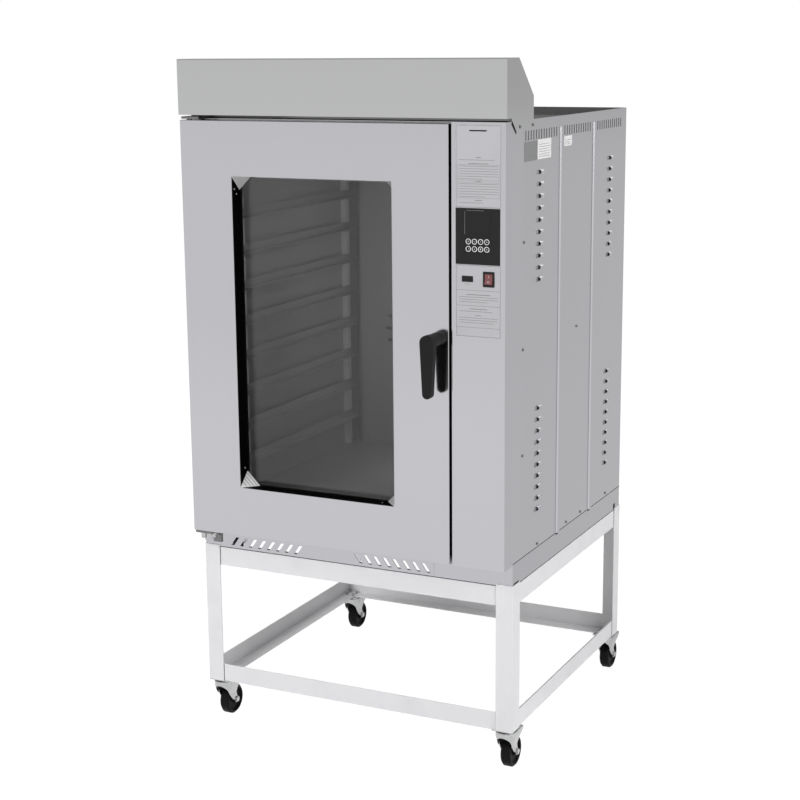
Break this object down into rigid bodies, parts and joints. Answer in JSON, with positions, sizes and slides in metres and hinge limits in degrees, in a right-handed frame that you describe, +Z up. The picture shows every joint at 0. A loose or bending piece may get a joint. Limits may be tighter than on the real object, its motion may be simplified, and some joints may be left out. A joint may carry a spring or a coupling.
{
  "type": "convection oven",
  "caption": "Floor-standing convection oven: glazed side-hinged door with lever handle, keypad column, sloped header, louvred steel cabinet and white angle-iron stand on swivel casters.",
  "frame": {"origin": "on the floor, below the middle of the overall width and depth", "axes": "+Z up, the door faces -Y, +X to the right as seen from the front"},
  "size_m": [1.0534, 1.137, 2.083],
  "materials": {
    "front_steel": "smooth bright stainless sheet",
    "side_steel": "satin stainless sheet",
    "roof_grey": "dull dark galvanised sheet",
    "stand_white": "white gloss paint",
    "zinc": "bright zinc plate",
    "wheel_black": "black moulded rubber",
    "chamber_steel": "satin stainless sheet",
    "gusset_steel": "bright folded stainless",
    "wool": "mineral wool",
    "seal_rubber": "black silicone seal",
    "reveal_black": "black satin enamel",
    "tinted_glass": "dark tinted toughened glass",
    "handle_black": "black moulded plastic",
    "panel_black": "black gloss plastic",
    "key_black": "black membrane key",
    "rocker_red": "red translucent plastic",
    "board_green": "green circuit board",
    "motor_grey": "cast aluminium",
    "fitting_brass": "machined brass",
    "flue_steel": "rolled stainless",
    "hinge_steel": "zinc plated steel"
  },
  "bodies": {
    "cabinet": {"header_hood": "front_steel", "control_column": "front_steel", "side_panel_left": "side_steel", "side_panel_right": "side_steel", "rear_panel": "side_steel", "base_pan": "side_steel", "roof_panel": "roof_grey", "stand_legs": "stand_white", "stand_upper_rails": "stand_white", "stand_lower_rails": "stand_white", "caster_plates": "zinc", "caster_bolts": "zinc", "front_frame": "chamber_steel", "chamber_left": "chamber_steel", "chamber_right": "chamber_steel", "chamber_floor": "chamber_steel", "chamber_roof": "chamber_steel", "chamber_back": "chamber_steel", "rack_posts": "chamber_steel", "tray_runners": "chamber_steel", "fan_guard": "chamber_steel", "burner_tube": "chamber_steel", "insulation_jacket": "wool", "keypad_panel": "panel_black", "port_cover": "panel_black", "rocker_frame": "panel_black", "controller_board": "board_green", "fan_motor": "motor_grey", "gas_valve": "fitting_brass", "flue_spigot": "flue_steel", "hinge_brackets": "hinge_steel", "latch_keeper": "hinge_steel"},
    "door": {"door_skin": "front_steel", "door_liner": "chamber_steel", "door_insulation": "wool", "door_gasket": "seal_rubber", "window_reveal": "reveal_black", "window_panes": "tinted_glass", "corner_gussets": "gusset_steel", "hinge_bushes": "fitting_brass"},
    "handle": {"handle_lever": "handle_black", "latch_spindle": "hinge_steel"},
    "rocker": {"rocker_switch": "rocker_red"},
    "fan": {"fan_wheel": "chamber_steel"},
    "key_body_1": {"key_1": "key_black"},
    "key_body_2": {"key_2": "key_black"},
    "key_body_3": {"key_3": "key_black"},
    "key_body_4": {"key_4": "key_black"},
    "key_body_5": {"key_5": "key_black"},
    "key_body_6": {"key_6": "key_black"},
    "key_body_7": {"key_7": "key_black"},
    "key_body_8": {"key_8": "key_black"},
    "swivel_front_left": {"caster_fork_front_left": "zinc"},
    "wheel_front_left": {"caster_wheel_front_left": "wheel_black"},
    "swivel_front_right": {"caster_fork_front_right": "zinc"},
    "wheel_front_right": {"caster_wheel_front_right": "wheel_black"},
    "swivel_rear_left": {"caster_fork_rear_left": "zinc"},
    "wheel_rear_left": {"caster_wheel_rear_left": "wheel_black"},
    "swivel_rear_right": {"caster_fork_rear_right": "zinc"},
    "wheel_rear_right": {"caster_wheel_rear_right": "wheel_black"}
  },
  "joints": [
    {"name": "door_hinge", "type": "hinge", "parent": "cabinet", "child": "door", "pos_m": [-0.504, -0.4755, 1.283], "axis": [0, 0, -1], "range_deg": [0, 120]},
    {"name": "handle_turn", "type": "hinge", "parent": "door", "child": "handle", "pos_m": [0.308, -0.5055, 1.306], "axis": [0, 1, 0], "range_deg": [0, 90]},
    {"name": "rocker_tip", "type": "hinge", "parent": "cabinet", "child": "rocker", "pos_m": [0.47075, -0.5055, 1.4855], "axis": [1, 0, 0], "range_deg": [0, 14]},
    {"name": "fan_spin", "type": "hinge", "parent": "cabinet", "child": "fan", "pos_m": [-0.085, 0.3875, 1.175], "axis": [0, 1, 0], "continuous": true},
    {"name": "key_press_1", "type": "slide", "parent": "cabinet", "child": "key_body_1", "axis": [0, 1, 0], "range_m": [0, 0.0006], "stiffness_N_per_m": 300},
    {"name": "key_press_2", "type": "slide", "parent": "cabinet", "child": "key_body_2", "axis": [0, 1, 0], "range_m": [0, 0.0006], "stiffness_N_per_m": 300},
    {"name": "key_press_3", "type": "slide", "parent": "cabinet", "child": "key_body_3", "axis": [0, 1, 0], "range_m": [0, 0.0006], "stiffness_N_per_m": 300},
    {"name": "key_press_4", "type": "slide", "parent": "cabinet", "child": "key_body_4", "axis": [0, 1, 0], "range_m": [0, 0.0006], "stiffness_N_per_m": 300},
    {"name": "key_press_5", "type": "slide", "parent": "cabinet", "child": "key_body_5", "axis": [0, 1, 0], "range_m": [0, 0.0006], "stiffness_N_per_m": 300},
    {"name": "key_press_6", "type": "slide", "parent": "cabinet", "child": "key_body_6", "axis": [0, 1, 0], "range_m": [0, 0.0006], "stiffness_N_per_m": 300},
    {"name": "key_press_7", "type": "slide", "parent": "cabinet", "child": "key_body_7", "axis": [0, 1, 0], "range_m": [0, 0.0006], "stiffness_N_per_m": 300},
    {"name": "key_press_8", "type": "slide", "parent": "cabinet", "child": "key_body_8", "axis": [0, 1, 0], "range_m": [0, 0.0006], "stiffness_N_per_m": 300},
    {"name": "swivel_turn_front_left", "type": "hinge", "parent": "cabinet", "child": "swivel_front_left", "pos_m": [-0.489, -0.4095, 0.12], "axis": [0, 0, 1], "continuous": true},
    {"name": "wheel_roll_front_left", "type": "hinge", "parent": "swivel_front_left", "child": "wheel_front_left", "pos_m": [-0.489, -0.3695, 0.048], "axis": [1, 0, 0], "continuous": true},
    {"name": "swivel_turn_front_right", "type": "hinge", "parent": "cabinet", "child": "swivel_front_right", "pos_m": [0.489, -0.4095, 0.12], "axis": [0, 0, 1], "continuous": true},
    {"name": "wheel_roll_front_right", "type": "hinge", "parent": "swivel_front_right", "child": "wheel_front_right", "pos_m": [0.489, -0.3695, 0.048], "axis": [1, 0, 0], "continuous": true},
    {"name": "swivel_turn_rear_left", "type": "hinge", "parent": "cabinet", "child": "swivel_rear_left", "pos_m": [-0.489, 0.4805, 0.12], "axis": [0, 0, 1], "continuous": true},
    {"name": "wheel_roll_rear_left", "type": "hinge", "parent": "swivel_rear_left", "child": "wheel_rear_left", "pos_m": [-0.489, 0.5205, 0.048], "axis": [1, 0, 0], "continuous": true},
    {"name": "swivel_turn_rear_right", "type": "hinge", "parent": "cabinet", "child": "swivel_rear_right", "pos_m": [0.489, 0.4805, 0.12], "axis": [0, 0, 1], "continuous": true},
    {"name": "wheel_roll_rear_right", "type": "hinge", "parent": "swivel_rear_right", "child": "wheel_rear_right", "pos_m": [0.489, 0.5205, 0.048], "axis": [1, 0, 0], "continuous": true}
  ]
}
